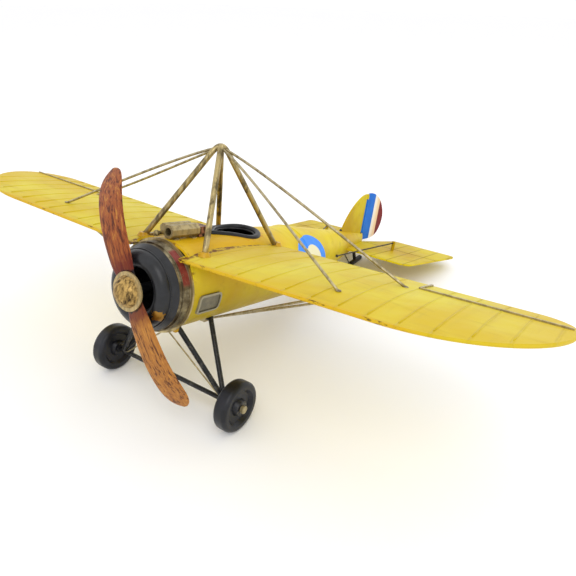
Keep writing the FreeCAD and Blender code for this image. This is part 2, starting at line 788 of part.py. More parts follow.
rudder_front_y = post_y + 2.3
rudder_edge = curve_through([
    (0, rudder_front_y, 45.4), (0, 270.0, 45.8), (0, 279.0, 43.6), (0, 288.5, 38.6),
    (0, 296.0, 31.0), (0, 299.5, 22.5), (0, 297.6, 14.5), (0, 292.0, 8.0),
    (0, 283.0, 4.6), (0, 272.0, 3.7), (0, rudder_front_y + 0.8, rudder_bottom_z)])
rudder_outline = [
    rudder_edge,
    Part.makeLine(Vec(0, rudder_front_y + 0.8, rudder_bottom_z),
                  Vec(0, rudder_front_y + 0.8, post_foot_top_z)),
    Part.makeLine(Vec(0, rudder_front_y + 0.8, post_foot_top_z),
                  Vec(0, post_y, post_foot_top_z)),
    Part.makeLine(Vec(0, post_y, post_foot_top_z), Vec(0, post_y, lug_bottom_z - 0.4)),
    Part.makeLine(Vec(0, post_y, lug_bottom_z - 0.4),
                  Vec(0, rudder_front_y, lug_bottom_z - 0.4)),
    Part.makeLine(Vec(0, rudder_front_y, lug_bottom_z - 0.4), Vec(0, rudder_front_y, 45.4)),
]
rudder = Part.Face(Part.Wire(rudder_outline)).extrude(Vec(fin_thickness, 0, 0))
rudder = rudder.translated(Vec(-0.5 * fin_thickness, 0, 0))
eye_height = lug_bottom_z - 0.4 - post_foot_top_z
eye = Part.makeCylinder(eye_radius, eye_height, Vec(0, post_y, post_foot_top_z))
post_bore = Part.makeCylinder(post_radius + running_fit, half_space,
                              Vec(0, post_y, -0.5 * half_space))
rudder = rudder.fuse(eye).cut(post_bore)
save(rudder, "rudder")

tailplane_thickness = 1.4
tailplane_front_y = 216.0
tailplane_back_y = 302.0
tailplane_hinge_y = 262.5
tip_curve = curve_through([(56.0, tailplane_front_y, 0), (62.5, 217.8, 0), (66.0, 223.5, 0)])
rear_corner = curve_through([(76.0, 295.0, 0), (75.4, 300.0, 0), (70.0, tailplane_back_y, 0)])
tailplane_edges = [
    Part.makeLine(Vec(0, tailplane_front_y, 0), Vec(56.0, tailplane_front_y, 0)),
    tip_curve,
    Part.makeLine(Vec(66.0, 223.5, 0), Vec(76.0, 295.0, 0)),
    rear_corner,
    Part.makeLine(Vec(70.0, tailplane_back_y, 0), Vec(17.4, tailplane_back_y, 0)),
    Part.makeLine(Vec(17.4, tailplane_back_y, 0), Vec(3.0, 264.0, 0)),
    Part.makeLine(Vec(3.0, 264.0, 0), Vec(0, 256.0, 0)),
    Part.makeLine(Vec(0, 256.0, 0), Vec(0, tailplane_front_y, 0)),
]
tailplane = Part.Face(Part.Wire(tailplane_edges)).extrude(Vec(0, 0, tailplane_thickness))
tailplane = tailplane.translated(Vec(0, 0, tailplane_z - 0.5 * tailplane_thickness))
groove_width = 0.7
groove_depth = 0.35
tailplane_top_z = tailplane_z + 0.5 * tailplane_thickness
for groove_z in (tailplane_top_z - groove_depth, tailplane_z - 0.5 * tailplane_thickness):
    groove = box((3.0, 100.0), (tailplane_hinge_y, tailplane_hinge_y + groove_width),
                 (groove_z, groove_z + groove_depth))
    tailplane = tailplane.cut(groove)
tailplane = tailplane.cut(cone_solid)
tailplane = largest(tailplane)
save(tailplane, "tailplane_port")
save(mirrored(tailplane), "tailplane_starboard")

horn_x = 34.0
horn_y = 257.5
horn_height = 8.0
rod_radius = 0.5
pin_y = 190.0
pin_z = 0.4
pin_radius = 0.8
pin_tip_x = 16.4
rod_end_x = 15.6
pin = across(pin_radius, 8.0, pin_tip_x, pin_y, pin_z).cut(cone_solid)
rod_height_z = tailplane_top_z + horn_height - 1.4
control_rod = rod((rod_end_x, pin_y, pin_z), (horn_x, horn_y + 1.2, rod_height_z), rod_radius)
control_rod = control_rod.cut(pin).cut(cone_solid)
control_rod = largest(control_rod)
horn = box((horn_x - 1.4, horn_x + 1.2), (horn_y - 0.5, horn_y + 0.5),
           (tailplane_top_z, tailplane_top_z + horn_height))
horn = horn.cut(control_rod)
horn = largest(horn)
save(Part.makeCompound([horn, mirrored(horn)]), "elevator_horns")
save(Part.makeCompound([control_rod, mirrored(control_rod)]), "control_rods")
save(Part.makeCompound([pin, mirrored(pin)]), "control_rod_pins")

# ---- Tail skid, trimmed flat to the ground the aeroplane stands on --------------------
angle = math.radians(stand_angle)
ground_level = -math.sin(angle) * wheel_y + math.cos(angle) * wheel_z - wheel_radius
skid_y = 259.0


def ground_z(y):
    return (ground_level + y * math.sin(angle)) / math.cos(angle)


skid_leg_top_y = 247.0
skid_leg_top_z = 2.0
skid_leg_radius = 1.5
shoe_radius = 2.2
shoe_front_y = 250.0
shoe_rear_y = 268.0
shoe_rise = 1.2
shoe = rod((0, shoe_front_y, ground_z(shoe_front_y) + shoe_rise),
           (0, shoe_rear_y, ground_z(shoe_rear_y) + shoe_rise), shoe_radius)
for end_y in (shoe_front_y, shoe_rear_y):
    shoe = shoe.fuse(Part.makeSphere(shoe_radius, Vec(0, end_y, ground_z(end_y) + shoe_rise)))
leg = rod((0, skid_leg_top_y, skid_leg_top_z), (0, skid_y, ground_z(skid_y) + shoe_rise),
          skid_leg_radius)
below = box((-20, 20), (150, 350), (-40, 0))
below = below.rotate(Vec(0, 0, 0), Vec(1, 0, 0), stand_angle) or below
below.translate(Vec(0, -math.sin(angle), math.cos(angle)) * ground_level)
skid = shoe.fuse(leg).cut(cone_solid).cut(below)
skid = largest(skid)
save(skid, "tail_skid")

skid_wire_radius = 0.5
skid_wire_top_y = 231.0
skid_wire_top_z = -4.0
skid_wire = rod((0, skid_wire_top_y, skid_wire_top_z),
                (0, shoe_front_y, ground_z(shoe_front_y) + shoe_rise), skid_wire_radius)
skid_wire = skid_wire.cut(cone_solid).cut(skid)
skid_wire = largest(skid_wire)
save(skid_wire, "skid_wire")

# The cone's sheet is hollow in front of the tail pieces; the rudder post stands in it.
tail_cone = cone_solid.cut(cone_inside).cut(post)
save(tail_cone, "fuselage_tail_cone")

# ---- Tip the whole aeroplane back onto its skid and put it over the origin ------------
placed = {}
for node, shape in finished.items():
    shape = shape.copy()
    shape.rotate(Vec(0, 0, 0), Vec(1, 0, 0), -stand_angle)
    shape.translate(Vec(0, 0, -ground_level))
    placed[node] = shape
whole = Part.makeCompound(list(placed.values())).optimalBoundingBox(False)
shift = Vec(0, -0.5 * (whole.YMin + whole.YMax), 0)


def on_ground(x, y, z):
    # The stored place of a point given in the level aeroplane's own directions.
    across_y = y * math.cos(angle) + z * math.sin(angle)
    up = -y * math.sin(angle) + z * math.cos(angle)
    return Vec(x, across_y + shift.y, up - ground_level)


for node, shape in placed.items():
    shape.translate(shift)
    shape.exportStep("parts/" + node + ".step")
    print(node, len(shape.Solids), round(shape.Volume, 1), shape.isValid())

print("shift in y", round(shift.y, 4), "ground level", round(ground_level, 4))
for label, point in {
        "propeller": (0, blade_root_y, 0), "wheel": (wheel_x, wheel_y, wheel_z),
        "rudder": (0, post_y, 20.0), "skid sole": (0, skid_y, ground_z(skid_y)),
        "cockpit": (0, cockpit_y, 15.0)}.items():
    spot = on_ground(*point)
    print(label, round(spot.x, 4), round(spot.y, 4), round(spot.z, 4))
print("size", whole.XMax - whole.XMin, whole.YMax - whole.YMin, whole.ZMax - whole.ZMin)
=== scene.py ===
import bpy
import bmesh
import math
from mathutils import Vector, Matrix, noise


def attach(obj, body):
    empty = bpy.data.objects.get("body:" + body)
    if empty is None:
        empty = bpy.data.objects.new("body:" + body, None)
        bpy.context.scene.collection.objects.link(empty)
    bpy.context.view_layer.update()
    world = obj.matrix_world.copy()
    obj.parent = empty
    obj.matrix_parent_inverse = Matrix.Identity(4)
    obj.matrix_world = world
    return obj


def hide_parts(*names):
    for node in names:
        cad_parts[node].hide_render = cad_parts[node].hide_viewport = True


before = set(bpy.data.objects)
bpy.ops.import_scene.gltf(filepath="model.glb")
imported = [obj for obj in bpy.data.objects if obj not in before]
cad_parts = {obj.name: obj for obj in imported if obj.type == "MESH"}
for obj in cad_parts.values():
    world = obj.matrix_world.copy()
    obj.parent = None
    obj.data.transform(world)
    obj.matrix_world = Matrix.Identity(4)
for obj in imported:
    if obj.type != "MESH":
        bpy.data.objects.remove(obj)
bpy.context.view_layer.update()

# The aeroplane is described level, in millimetres, with its propeller shaft along Y, its
# nose towards -Y and its port wing towards +X. These place that level description in the
# stored frame, where it rests on its skid.
STAND_ANGLE = math.radians(14.0)
LEVEL_ORIGIN = Vector((0.0, -140.5015, 79.5051))
TILT = Matrix.Rotation(-STAND_ANGLE, 4, "X")
MM = 0.001                   # one millimetre in the scene's metres

SIDES = ((1, "port"), (-1, "starboard"))

# Body
BODY_RADIUS = 25.0
DECK_TOP = 26.0              # height of the decked part over the shaft line
DECK_SQUARENESS = 3.0        # 2 is a round section, larger is squarer at the shoulders
SQUARE_TO_Y = 88.0           # the deck keeps that squareness back to here
SEAM_Y = 133.0               # where the body sheet meets the tail cone
COCKPIT_Y = 75.5             # centre of the round end of the cockpit hole
ROUNDEL_Y = 140.0            # middle of each roundel along the body
ROUNDEL_Z = 1.0              # and round it, above the middle of the side
BLUE_RADIUS, CREAM_RADIUS, RED_RADIUS = 24.0, 15.5, 7.5

# Wings
HALF_SPAN = 200.0
LEADING_Y = 7.5              # straight part of the leading edge
TRAILING_Y = 92.0
WIDEST_Y = 66.0              # where the tip reaches the full span
FRONT_TIP_X = 128.0          # the leading edge is straight out to here
REAR_TIP_X = 180.0           # and the trailing edge out to here
WING_ROOT_Z = 19.0           # the wing's middle, carried in to the centre line
WING_RISE = 0.028            # millimetres up per millimetre of span
WING_CAMBER = 2.0
FIRST_RIB_X = 26.0
RIB_SPACING = 14.0
WING_RIBS = 11

# Tail
TAIL_TOP = 2.5               # height of the tailplane's upper face
TAIL_RIB_X = 5.0
TAIL_RIBS = 4
HINGE_LINE = (262.4, 263.3)  # front and back of the elevators' dark hinge line

# Tower and bracing
CROWN = Vector((0.0, 52.0, 80.0))  # where the straight legs would meet
FOOT_X, FOOT_Z = 23.3, 21.2
FRONT_FOOT_Y, REAR_FOOT_Y = 21.0, 86.8
BEND_LENGTH = 10.0           # how far below the crown each tube starts to bend
BEND_PULL = 8.0              # how far it keeps its direction into the bend
TUBE_RADIUS = 1.65
ROD_RADIUS = 0.75
FRONT_ROD_END = (101.0, 27.0)  # where the upper rods enter the wing
REAR_ROD_END = (119.0, 66.0)


def placed(x, y, z):
    """The stored place, in metres, of a point of the level aeroplane."""
    return (TILT @ Vector((x, y, z)) + LEVEL_ORIGIN) * MM


# ---- Colour and node helpers ----------------------------------------------------------
def colour(text):
    """sRGB hex to linear."""
    channels = []
    for start in (0, 2, 4):
        value = int(text[start:start + 2], 16) / 255.0
        if value <= 0.04045:
            channels.append(value / 12.92)
        else:
            channels.append(((value + 0.055) / 1.055) ** 2.4)
    return (*channels, 1.0)


class Paint:
    """One material and the few kinds of node its pattern is made of."""

    def __init__(self, name):
        self.material = bpy.data.materials.new(name)
        self.material.use_nodes = True
        self.tree = self.material.node_tree
        self.shader = self.tree.nodes["Principled BSDF"]
        self.level = self.level_position()

    def add(self, kind, inputs=None, **settings):
        node = self.tree.nodes.new(kind)
        for key, value in settings.items():
            setattr(node, key, value)
        for key, value in (inputs or {}).items():
            self.put(node.inputs[key], value)
        return node

    def put(self, socket, value):
        if isinstance(value, bpy.types.NodeSocket):
            self.tree.links.new(value, socket)
        else:
            socket.default_value = value

    def level_position(self):
        """Object position turned back to the level aeroplane, in millimetres."""
        where = self.add("ShaderNodeTexCoord").outputs["Object"]
        scaled = self.add("ShaderNodeVectorMath", {0: where, "Scale": 1.0 / MM},
                          operation="SCALE")
        moved = self.add("ShaderNodeVectorMath", {0: scaled.outputs[0], 1: LEVEL_ORIGIN},
                         operation="SUBTRACT")
        turned = self.add("ShaderNodeVectorRotate",
                          {"Vector": moved.outputs[0], "Angle": STAND_ANGLE},
                          rotation_type="X_AXIS")
        return turned.outputs[0]

    def part(self, axis):
        """Level x, y or z in millimetres, for an axis of 0, 1 or 2."""
        return self.add("ShaderNodeSeparateXYZ", {0: self.level}).outputs[axis]

    def facing_inward(self):
        """1 where the surface faces the shaft line, as the inside of the body sheet does.

        The product is about the body's radius outside, and the same below zero inside.
        """
        normal = self.add("ShaderNodeTexCoord").outputs["Normal"]
        turned = self.add("ShaderNodeVectorRotate", {"Vector": normal, "Angle": STAND_ANGLE},
                          rotation_type="X_AXIS").outputs[0]
        outward = self.stretch((1.0, 0.0, 1.0))
        towards = self.add("ShaderNodeVectorMath", {0: turned, 1: outward},
                           operation="DOT_PRODUCT").outputs["Value"]
        return self.step(towards, -2.0, -6.0)

    def math(self, operation, first, second=0.0, third=0.0):
        node = self.add("ShaderNodeMath", {0: first, 1: second, 2: third}, operation=operation)
        return node.outputs[0]

    def step(self, value, low, high):
        """0 below low and 1 above high, or the other way round if low is the larger."""
        node = self.add("ShaderNodeMapRange",
                        {"Value": value, "From Min": low, "From Max": high})
        node.interpolation_type = "SMOOTHSTEP"
        return node.outputs[0]

    def inside(self, value, low, high, soft=0.15):
        """1 between low and high, fading out over soft on each side."""
        rising = self.step(value, low - soft, low + soft)
        falling = self.step(value, high + soft, high - soft)
        return self.math("MULTIPLY", rising, falling)

    def stretch(self, scale):
        """Level position, scaled along each axis."""
        return self.add("ShaderNodeVectorMath", {0: self.level, 1: scale},
                        operation="MULTIPLY").outputs[0]

    def noise(self, size, detail=4.0, rough=0.55, stretch=(1.0, 1.0, 1.0)):
        """Noise whose features are about size millimetres across."""
        node = self.add("ShaderNodeTexNoise",
                        {"Vector": self.stretch(stretch), "Scale": 1.0 / size,
                         "Detail": detail, "Roughness": rough})
        return node.outputs["Fac"]

    def mix(self, factor, first, second):
        node = self.add("ShaderNodeMix", data_type="RGBA", blend_type="MIX")
        self.put(node.inputs["Factor"], factor)
        self.put(node.inputs["A"], first)
        self.put(node.inputs["B"], second)
        return node.outputs["Result"]

    def worn_edge(self, low, high):
        """1 on sharp outside edges, 0 on flats."""
        pointy = self.add("ShaderNodeNewGeometry").outputs["Pointiness"]
        return self.step(pointy, low, high)

    def bump(self, height, depth, strength=1.0, under=None):
        """A raised pattern, depth millimetres high, over any bump under it."""
        node = self.add("ShaderNodeBump",
                        {"Height": height, "Distance": depth * MM, "Strength": strength})
        if under is not None:
            self.put(node.inputs["Normal"], under)
        return node.outputs["Normal"]

    def finish(self, base, roughness, metallic=0.0, normal=None, coat=0.0, reflection=0.12):
        """Set the shader. reflection is low on brushed enamel, which scatters the light."""
        self.put(self.shader.inputs["Base Color"], base)
        self.put(self.shader.inputs["Specular IOR Level"], reflection)
        self.put(self.shader.inputs["Roughness"], roughness)
        self.put(self.shader.inputs["Metallic"], metallic)
        self.put(self.shader.inputs["Coat Weight"], coat)
        self.put(self.shader.inputs["Coat Roughness"], 0.25)
        if normal is not None:
            self.put(self.shader.inputs["Normal"], normal)
        return self.material


# ---- Paints ---------------------------------------------------------------------------
def yellow_base(paint, pale, deep, brown):
    """Hand-brushed yellow enamel: pale and deep patches, then brown shading in the lows."""
    patches = paint.step(paint.noise(46.0, 3.0, 0.5), 0.36, 0.66)
    base = paint.mix(patches, colour(pale), colour(deep))
    brushed = paint.step(paint.noise(7.0, 5.0, 0.62, (0.25, 1.0, 1.0)), 0.52, 0.8)
    base = paint.mix(paint.math("MULTIPLY", brushed, 0.35), base, colour(brown))
    fine = paint.step(paint.noise(1.4, 6.0, 0.7), 0.64, 0.78)
    return paint.mix(paint.math("MULTIPLY", fine, 0.35), base, colour(brown))


def enamel_bump(paint, extra=None, extra_depth=0.0):
    """Slight waves of hammered sheet under a brushed coat."""
    waves = paint.bump(paint.noise(22.0, 2.0, 0.5), 0.9)
    grain = paint.bump(paint.noise(1.1, 4.0, 0.6), 0.05, 1.0, waves)
    if extra is None:
        return grain
    return paint.bump(extra, extra_depth, 1.0, grain)


def yellow_body():
    """Yellow enamel on the body sheet with the painted roundel, browned by painted shade towards
    the belly and near black with painted shade inside.
    """
    paint = Paint("yellow_enamel_on_tin_body")
    x, y, z = paint.part(0), paint.part(1), paint.part(2)
    base = yellow_base(paint, "dcc624", "cba814", "8c660c")
    # Deeper gold on the deck round the cockpit; below it, painted shade browns the sides towards
    # the belly.
    deck = paint.math("MULTIPLY", paint.step(z, 14.0, 20.0), paint.step(y, 118.0, 100.0))
    base = paint.mix(paint.math("MULTIPLY", deck, 0.5), base, colour("d49f0c"))
    # Painted shade: the sides darken to brown towards the belly.
    base = paint.mix(paint.math("MULTIPLY", paint.step(z, 16.0, -20.0), 0.6), base,
                     colour("866a16"))
    # Scraped edge near the cockpit and the cowl rim.
    scrape = paint.step(paint.noise(3.0, 5.0, 0.65), 0.5, 0.66)
    by_rim = paint.step(y, 17.0, 13.0)
    base = paint.mix(paint.math("MULTIPLY", by_rim, scrape), base, colour("8a5a1c"))
    from_cockpit = paint.add("ShaderNodeVectorMath",
                             {0: paint.level, 1: (0.0, COCKPIT_Y, 24.0)},
                             operation="DISTANCE").outputs["Value"]
    rubbed = paint.math("MULTIPLY", paint.inside(from_cockpit, 13.0, 18.5, 1.5), scrape)
    base = paint.mix(paint.math("MULTIPLY", rubbed, 0.9), base, colour("c5741c"))
    # Roundel on each side, wrapped round the body over the seam.
    across_y = paint.math("SUBTRACT", y, ROUNDEL_Y)
    reach = paint.math("SQRT", paint.math("ADD", paint.math("MULTIPLY", x, x),
                                          paint.math("MULTIPLY", z, z)))
    turn = paint.math("ARCTAN2", z, paint.math("ABSOLUTE", x))
    across_z = paint.math("SUBTRACT", paint.math("MULTIPLY", reach, turn), ROUNDEL_Z)
    square = paint.math("ADD", paint.math("MULTIPLY", across_y, across_y),
                        paint.math("MULTIPLY", across_z, across_z))
    wobble = paint.math("MULTIPLY_ADD", paint.noise(9.0, 3.0), 0.8, -0.4)
    radius = paint.math("ADD", paint.math("SQRT", square), wobble)
    blue = paint.mix(paint.noise(5.0), colour("2c7ce4"), colour("4c9af8"))
    rings = ((BLUE_RADIUS, blue), (CREAM_RADIUS, colour("e6dfb4")),
             (RED_RADIUS, colour("7c1813")))
    for limit, ring in rings:
        mask = paint.step(radius, limit + 0.15, limit - 0.15)
        base = paint.mix(mask, base, ring)
    # Painted shade: every face turned in towards the shaft line, the inside of the hollow body,
    # is made near black.
    base = paint.mix(paint.facing_inward(), base, colour("050505"))
    rough = paint.math("MULTIPLY_ADD", paint.noise(9.0), 0.25, 0.3)
    return paint.finish(base, rough, normal=enamel_bump(paint), coat=0.03)


def yellow_wing():
    """Yellow enamel on the wing skins, with pressed ribs lined with painted shade and a darker
    brushed-in root.
    """
    paint = Paint("yellow_enamel_on_tin_wing")
    x, y = paint.math("ABSOLUTE", paint.part(0)), paint.part(1)
    base = yellow_base(paint, "d6c63a", "ceb11e", "a58418")
    streak = paint.step(paint.noise(5.0, 4.0, 0.6, (1.0, 0.12, 1.0)), 0.5, 0.75)
    base = paint.mix(paint.math("MULTIPLY", streak, 0.35), base, colour("bda636"))
    tip = paint.step(x, 150.0, HALF_SPAN)
    base = paint.mix(paint.math("MULTIPLY", tip, 0.55), base, colour("cfa916"))
    root = paint.step(x, 60.0, 20.0)
    base = paint.mix(paint.math("MULTIPLY", root, 0.35), base, colour("c8a22c"))
    ribs = paint.math("PINGPONG", paint.math("SUBTRACT", x, FIRST_RIB_X), RIB_SPACING / 2)
    rib_and_painted_shade = paint.step(ribs, 1.1, 0.0)
    # Painted shade: a faint darker line along each pressed rib.
    base = paint.mix(paint.math("MULTIPLY", rib_and_painted_shade, 0.06), base, colour("a08a24"))
    # Deeper colour and scrapes along the leading edge and the open root end.
    edge = paint.step(y, 11.0, 7.3)
    base = paint.mix(paint.math("MULTIPLY", edge, 0.75), base, colour("cfa31a"))
    scrape = paint.step(paint.noise(2.4, 6.0, 0.7, (0.3, 1.0, 1.0)), 0.56, 0.66)
    bare = paint.math("MULTIPLY", paint.step(y, 9.2, 7.6), scrape)
    base = paint.mix(bare, base, colour("4f3712"))
    torn = paint.math("MULTIPLY", paint.step(x, 22.8, 20.6), paint.step(
        paint.noise(3.0, 5.0, 0.65), 0.42, 0.55))
    base = paint.mix(torn, base, colour("6e4620"))
    rough = paint.math("MULTIPLY_ADD", paint.noise(12.0), 0.25, 0.34)
    return paint.finish(base, rough, normal=enamel_bump(paint, rib_and_painted_shade, 0.35), coat=0.03)


def yellow_tail():
    """Yellow enamel on the tail plates, with pressed ribs lined with painted shade."""
    paint = Paint("yellow_enamel_on_tin_tail")
    x, y = paint.math("ABSOLUTE", paint.part(0)), paint.part(1)
    base = yellow_base(paint, "d2bd10", "be9c0c", "80620a")
    ribs = paint.math("PINGPONG", paint.math("SUBTRACT", x, TAIL_RIB_X), RIB_SPACING / 2)
    rib_and_painted_shade = paint.math("MULTIPLY", paint.step(ribs, 0.9, 0.1), paint.step(x, 12.0, 14.0))
    hinge = paint.inside(y, *HINGE_LINE, 0.2)
    line = paint.math("MULTIPLY", hinge, paint.step(x, 4.0, 5.0))
    # Painted shade: darker along each pressed rib.
    base = paint.mix(paint.math("MULTIPLY", rib_and_painted_shade, 0.45), base, colour("7a5d10"))
    base = paint.mix(paint.math("MULTIPLY", line, 0.85), base, colour("5a4309"))
    rough = paint.math("MULTIPLY_ADD", paint.noise(9.0), 0.25, 0.34)
    return paint.finish(base, rough, normal=enamel_bump(paint, rib_and_painted_shade, 0.35))


def solder_paint():
    """Thick deeper yellow paint over lumps of solder."""
    paint = Paint("yellow_enamel_on_solder")
    base = paint.mix(paint.noise(2.0, 5.0), colour("d8ae20"), colour("b0800f"))
    lumps = paint.bump(paint.noise(1.6, 4.0), 0.5)
    return paint.finish(base, 0.36, normal=lumps, coat=0.3)


def black_enamel(name, shade="0c0d0f", worn="26272b", size=3.0, rub_share=0.35):
    """Black enamel, rubbed grey on its high edges."""
    paint = Paint(name)
    patches = paint.step(paint.noise(size * 3, 4.0), 0.4, 0.7)
    base = paint.mix(paint.math("MULTIPLY", patches, 0.5), colour(shade), colour(worn))
    rub = paint.math("MULTIPLY", paint.worn_edge(0.52, 0.6),
                     paint.step(paint.noise(size, 5.0, 0.7), 0.5, 0.66))
    base = paint.mix(paint.math("MULTIPLY", rub, rub_share), base, colour("6e6a60"))
    rough = paint.math("MULTIPLY_ADD", paint.noise(size), 0.25, 0.3)
    return paint.finish(base, rough, normal=paint.bump(paint.noise(size, 4.0), 0.12),
                        coat=0.2, reflection=0.25)


def ring_enamel():
    """Black enamel on the nose ring, with a worn brass patch showing by the lower blade."""
    paint = Paint("black_enamel_on_brass_cowl")
    patches = paint.step(paint.noise(8.0, 4.0), 0.4, 0.7)
    base = paint.mix(paint.math("MULTIPLY", patches, 0.45), colour("0f1013"), colour("2b2d32"))
    gap = paint.add("ShaderNodeVectorMath", {0: paint.level, 1: (16.5, -1.5, -9.5)},
                    operation="DISTANCE").outputs["Value"]
    uneven = paint.math("MULTIPLY_ADD", paint.noise(2.2, 5.0), 7.0, -3.5)
    chip = paint.step(paint.math("ADD", gap, uneven), 3.6, 3.0)
    crack = paint.step(paint.noise(1.6, 6.0, 0.75), 0.66, 0.7)
    back_edge = paint.math("MULTIPLY", paint.step(paint.part(1), 3.4, 4.9), crack)
    bare = paint.math("MAXIMUM", chip, back_edge)
    base = paint.mix(bare, base, colour("a5792c"))
    rough = paint.math("MULTIPLY_ADD", paint.noise(4.0), 0.25, 0.28)
    return paint.finish(base, rough, bare, paint.bump(paint.noise(5.0, 4.0), 0.25),
                        coat=0.3, reflection=0.3)


def aged_brass(name, bright="ad9a68", dark="392e1a", metal=0.85, size=3.0, rough=0.3,
               soft=0.1):
    """Brass gone brown in patches, brighter on its high edges."""
    paint = Paint(name)
    tarnish = paint.step(paint.noise(size * 1.4, 6.0, 0.66, (1.0, 1.0, 0.3)),
                         0.52 - soft, 0.52 + soft)
    base = paint.mix(tarnish, colour(bright), colour(dark))
    bright_edge = paint.worn_edge(0.51, 0.57)
    base = paint.mix(paint.math("MULTIPLY", bright_edge, 0.5), base, colour("c9b88a"))
    rougher = paint.math("MULTIPLY_ADD", tarnish, 0.22, rough)
    return paint.finish(base, rougher, metal,
                        paint.bump(paint.noise(size * 0.5, 4.0), 0.1), reflection=0.5)


def band_brass():
    """Aged brass cowl band with rolled ridges and a rubbed red painted patch on top."""
    paint = Paint("aged_brass_cowl_band")
    x, y, z = paint.part(0), paint.part(1), paint.part(2)
    tarnish = paint.step(paint.noise(7.0, 6.0, 0.65), 0.36, 0.62)
    base = paint.mix(tarnish, colour("9b8f70"), colour("574c38"))
    rub = paint.step(paint.noise(2.6, 6.0, 0.7), 0.6, 0.68)
    base = paint.mix(paint.math("MULTIPLY", rub, 0.5), base, colour("2b2216"))
    turn = paint.math("ARCTAN2", x, z)
    red = paint.math("MULTIPLY", paint.inside(turn, 0.42, 1.28, 0.05),
                     paint.inside(y, 7.4, 11.6))
    red = paint.math("MULTIPLY", red, paint.step(paint.noise(2.4, 6.0, 0.7), 0.7, 0.6))
    base = paint.mix(red, base,
                     paint.mix(paint.noise(2.0), colour("5f1614"), colour("93443a")))
    ridges = paint.math("MAXIMUM", paint.inside(y, 6.4, 7.0, 0.4),
                        paint.inside(y, 11.7, 12.3, 0.4))
    metal = paint.math("MULTIPLY_ADD", red, -0.85, 0.88)
    return paint.finish(base, 0.38, metal, paint.bump(ridges, 0.8), reflection=0.3)


def blade_paint():
    """Tin blades painted as wood grain under varnish, dark red at the root, black at the hub.

    The dark streaks run along the blades, which lean 31 degrees from upright.
    """
    paint = Paint("painted_wood_grain_on_tin_blade")
    lean = math.radians(31.0)
    turned = paint.add("ShaderNodeVectorRotate", {"Vector": paint.level, "Angle": lean},
                       rotation_type="Y_AXIS").outputs[0]
    stretched = paint.add("ShaderNodeVectorMath", {0: turned, 1: (1.0, 1.0, 0.14)},
                          operation="MULTIPLY").outputs[0]
    fibres = paint.add("ShaderNodeTexNoise", {"Vector": stretched, "Scale": 0.62, "Detail": 6.0,
                                              "Roughness": 0.66, "Distortion": 0.4})
    broad = paint.add("ShaderNodeTexNoise", {"Vector": stretched, "Scale": 0.2, "Detail": 3.0})
    dark = paint.step(fibres.outputs["Fac"], 0.5, 0.6)
    light = paint.step(fibres.outputs["Fac"], 0.46, 0.34)
    lower = paint.step(paint.part(2), 4.0, -4.0)
    upper_wood = paint.mix(broad.outputs["Fac"], colour("9c5526"), colour("84401f"))
    lower_wood = paint.mix(broad.outputs["Fac"], colour("b27a35"), colour("94561f"))
    base = paint.mix(lower, upper_wood, lower_wood)
    base = paint.mix(paint.math("MULTIPLY", light, 0.6), base, colour("c48a35"))
    base = paint.mix(paint.math("MULTIPLY", dark, 0.85), base, colour("471d10"))
    radius = paint.add("ShaderNodeVectorMath", {0: paint.level},
                       operation="LENGTH").outputs["Value"]
    uneven = paint.math("MULTIPLY_ADD", paint.noise(3.0, 4.0), 6.0, -3.0)
    ragged = paint.math("ADD", radius, uneven)
    root = paint.math("MULTIPLY", paint.step(ragged, 24.0, 15.0), 0.8)
    base = paint.mix(root, base, colour("5c1710"))
    base = paint.mix(paint.step(ragged, 14.5, 12.5), base, colour("1c1413"))
    return paint.finish(base, 0.36, normal=paint.bump(fibres.outputs["Fac"], 0.15),
                        coat=0.12)


def rudder_paint():
    """Three brushed upright stripes: blue, cream and dark red."""
    paint = Paint("striped_enamel_on_tin_rudder")
    uneven = paint.math("MULTIPLY_ADD", paint.noise(7.0), 0.8, -0.4)
    y = paint.math("ADD", paint.part(1), uneven)
    blue = paint.mix(paint.noise(9.0, 4.0), colour("0b5cc4"), colour("1f80e6"))
    cream = paint.mix(paint.step(y, 278.0, 286.0), colour("f6f0df"), colour("f0cfa4"))
    red = paint.mix(paint.noise(5.0, 4.0), colour("8a1009"), colour("650a06"))
    base = paint.mix(paint.step(y, 276.3, 276.8), blue, cream)
    base = paint.mix(paint.step(y, 287.6, 288.1), base, red)
    return paint.finish(base, 0.45, normal=enamel_bump(paint), reflection=0.08)


def plate_metal():
    """Dull grey stamped plate, rubbed paler on its raised edges."""
    paint = Paint("dull_zinc_plate")
    base = paint.mix(paint.noise(3.0, 5.0), colour("8d8876"), colour("5f5b4e"))
    edge = paint.worn_edge(0.52, 0.58)
    base = paint.mix(paint.math("MULTIPLY", edge, 0.6), base, colour("b9b39c"))
    return paint.finish(base, 0.5, 0.6, paint.bump(paint.noise(1.2, 4.0), 0.15),
                        reflection=0.4)


def breech_paint():
    """Rubbed brown and black paint over brass on the gun's breech."""
    paint = Paint("rubbed_brown_enamel_on_breech")
    worn = paint.step(paint.noise(2.0, 6.0, 0.7), 0.42, 0.6)
    base = paint.mix(worn, colour("2a1d18"), colour("9a6a50"))
    return paint.finish(base, 0.4, 0.3, paint.bump(paint.noise(1.4, 4.0), 0.2))


finishes = {
    "body": yellow_body(), "wing": yellow_wing(), "tail": yellow_tail(),
    "solder": solder_paint(),
    "black": black_enamel("black_enamel_on_steel"),
    "wheel": black_enamel("black_enamel_on_wheel", "101115", "30313a", 5.0, 0.6),
    "ring": ring_enamel(), "band": band_brass(),
    "brass": aged_brass("aged_brass_tube"),
    "rod": aged_brass("aged_brass_rod", "a39a80", "544b3a", 0.85, 2.0, 0.3),
    "nut": aged_brass("dull_brass_nut", "8f8a78", "4a463a", 0.8, 1.6, 0.42),
    "dome": aged_brass("rubbed_brass_dome", "bd9a58", "3a2a14", 0.7, 1.1, 0.4, 0.16),
    "gun": aged_brass("antique_brass_gun", "96855a", "3a2f1d", 0.8, 1.8, 0.4),
    "blade": blade_paint(), "rudder": rudder_paint(), "plate": plate_metal(),
    "breech": breech_paint(),
    "steel": black_enamel("dark_steel_rod", "221f1b", "4c463c", 2.0),
}

